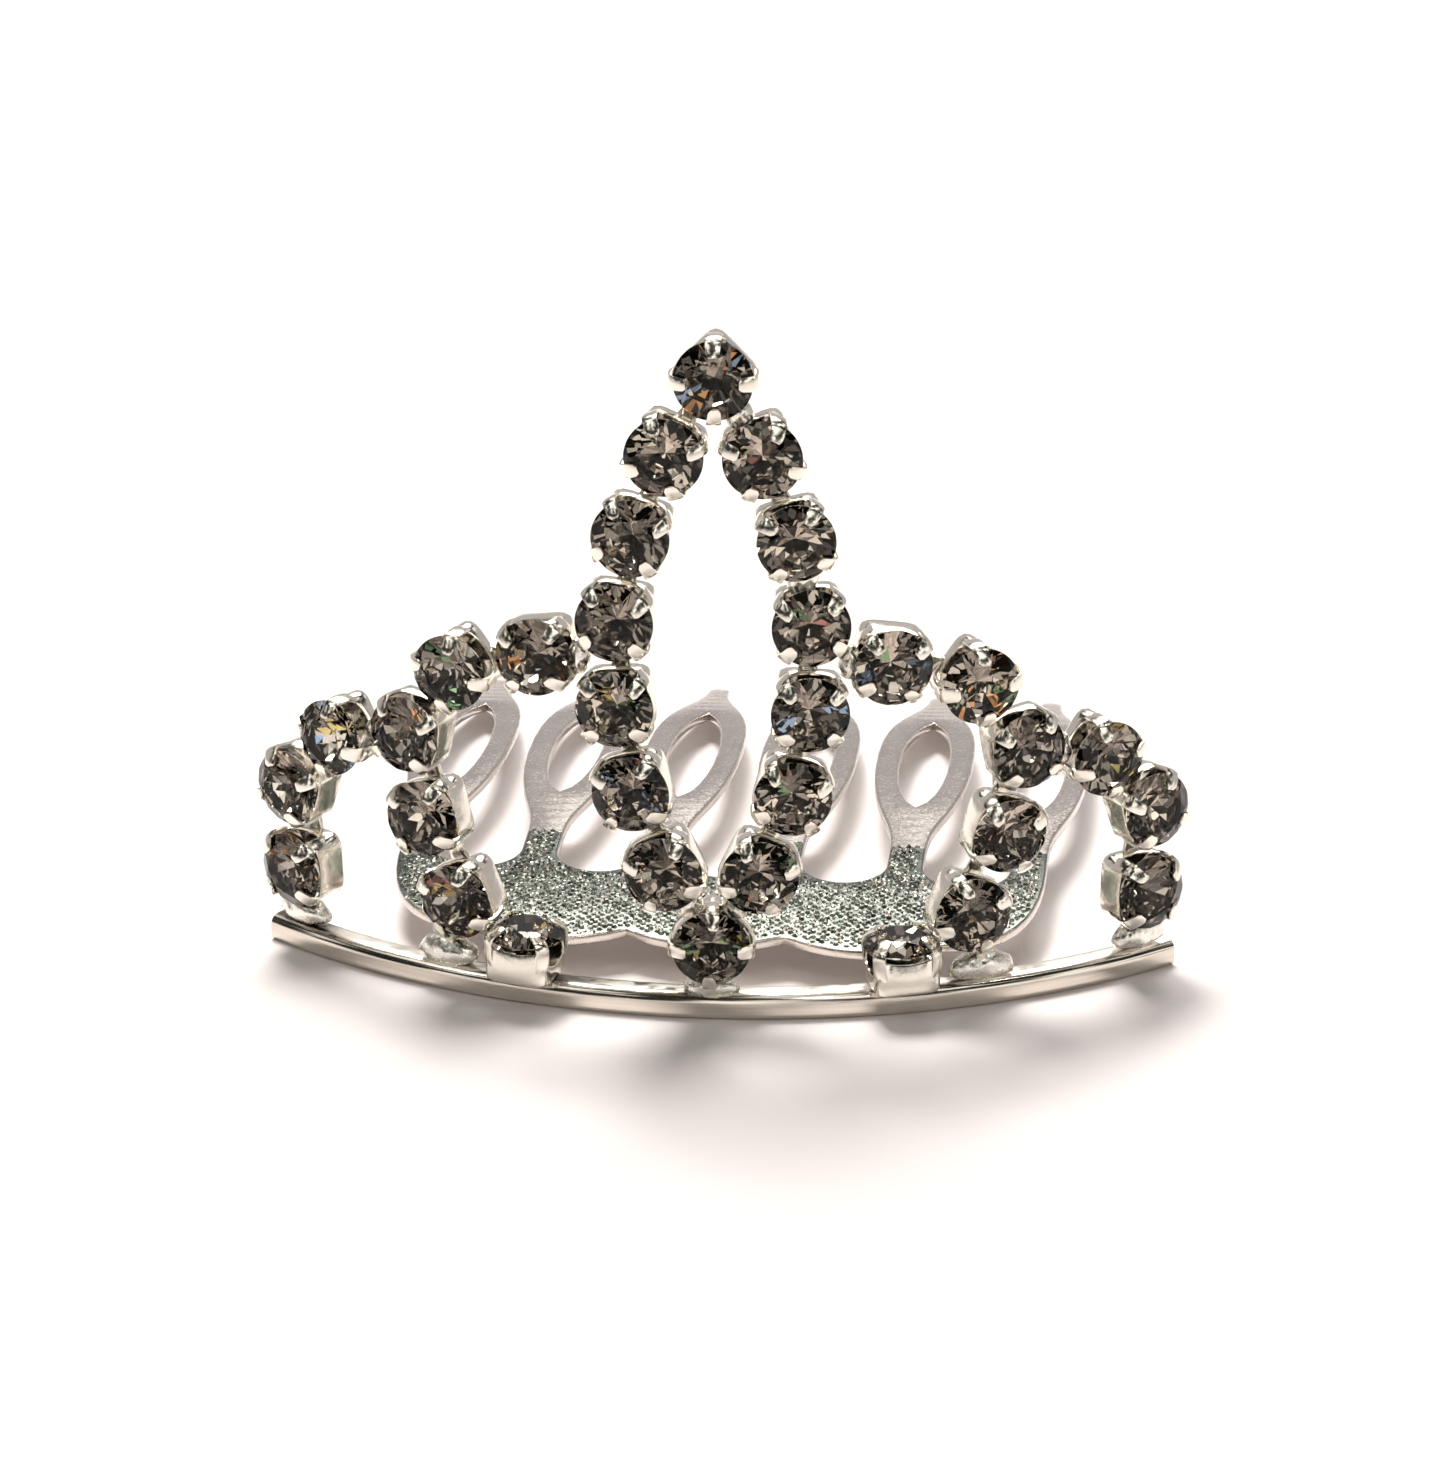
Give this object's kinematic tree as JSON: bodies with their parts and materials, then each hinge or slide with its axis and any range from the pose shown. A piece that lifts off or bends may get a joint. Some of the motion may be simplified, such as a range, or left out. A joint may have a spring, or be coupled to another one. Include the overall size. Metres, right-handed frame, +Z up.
{
  "type": "bridal tiara",
  "caption": "Mini bridal tiara on a hair comb: a leaf loop and stepped side arches of rhinestone cup chain, soldered to a curved band in front of a stamped comb.",
  "frame": {"origin": "under the middle of the whole, on the surface it stands on", "axes": "+X along the band to the wearer's left, front of the tiara towards -Y, comb teeth towards +Y, +Z up"},
  "size_m": [0.0492, 0.0472, 0.0367],
  "materials": {
    "silver_cup_chain": "bright silver plate on brass cups, polished, with rounded claws",
    "silver_band": "bright silver plate, drawn and polished bar with a rougher cut top edge",
    "silver_comb": "silver-plated steel sheet, stamped, with a fine embossed grip pattern on the spine",
    "solder": "soft solder, plated over, slightly lumpy",
    "rhinestone_glass": "machine-cut clear glass chaton with a foiled back, facets polished"
  },
  "bodies": {
    "root": {"base_band": "silver_band", "comb_solder_left": "solder", "comb_solder_right": "solder", "end_post_left_solder": "solder", "end_post_right_solder": "solder", "hair_comb": "silver_comb", "inner_arch_left_solder": "solder", "inner_arch_left_stone_1": "rhinestone_glass", "inner_arch_left_stone_2": "rhinestone_glass", "inner_arch_left_stone_3": "rhinestone_glass", "inner_arch_left_stone_4": "rhinestone_glass", "inner_arch_left_stone_5": "rhinestone_glass", "inner_arch_left_strip": "silver_cup_chain", "inner_arch_right_solder": "solder", "inner_arch_right_stone_1": "rhinestone_glass", "inner_arch_right_stone_2": "rhinestone_glass", "inner_arch_right_stone_3": "rhinestone_glass", "inner_arch_right_stone_4": "rhinestone_glass", "inner_arch_right_stone_5": "rhinestone_glass", "inner_arch_right_strip": "silver_cup_chain", "leg_foot_left_cup": "silver_cup_chain", "leg_foot_left_stone": "rhinestone_glass", "leg_foot_right_cup": "silver_cup_chain", "leg_foot_right_stone": "rhinestone_glass", "leg_left_solder": "solder", "leg_right_solder": "solder", "marquise_foot_cup": "silver_cup_chain", "marquise_foot_solder": "solder", "marquise_foot_solder_left": "solder", "marquise_foot_solder_right": "solder", "marquise_foot_stone_1": "rhinestone_glass", "marquise_left_stone_1": "rhinestone_glass", "marquise_left_stone_2": "rhinestone_glass", "marquise_left_stone_3": "rhinestone_glass", "marquise_left_stone_4": "rhinestone_glass", "marquise_left_stone_5": "rhinestone_glass", "marquise_left_stone_6": "rhinestone_glass", "marquise_left_strip": "silver_cup_chain", "marquise_right_lower_strip": "silver_cup_chain", "marquise_right_solder": "solder", "marquise_right_stone_1": "rhinestone_glass", "marquise_right_stone_2": "rhinestone_glass", "marquise_right_stone_3": "rhinestone_glass", "marquise_right_stone_4": "rhinestone_glass", "marquise_right_stone_5": "rhinestone_glass", "marquise_right_stone_6": "rhinestone_glass", "marquise_right_upper_strip": "silver_cup_chain", "marquise_tip_solder": "solder", "marquise_tip_stone_1": "rhinestone_glass", "outer_arch_left_solder": "solder", "outer_arch_left_stone_1": "rhinestone_glass", "outer_arch_left_stone_2": "rhinestone_glass", "outer_arch_left_stone_3": "rhinestone_glass", "outer_arch_left_strip": "silver_cup_chain", "outer_arch_right_solder": "solder", "outer_arch_right_stone_1": "rhinestone_glass", "outer_arch_right_stone_2": "rhinestone_glass", "outer_arch_right_stone_3": "rhinestone_glass", "outer_arch_right_strip": "silver_cup_chain"}
  },
  "joints": []
}
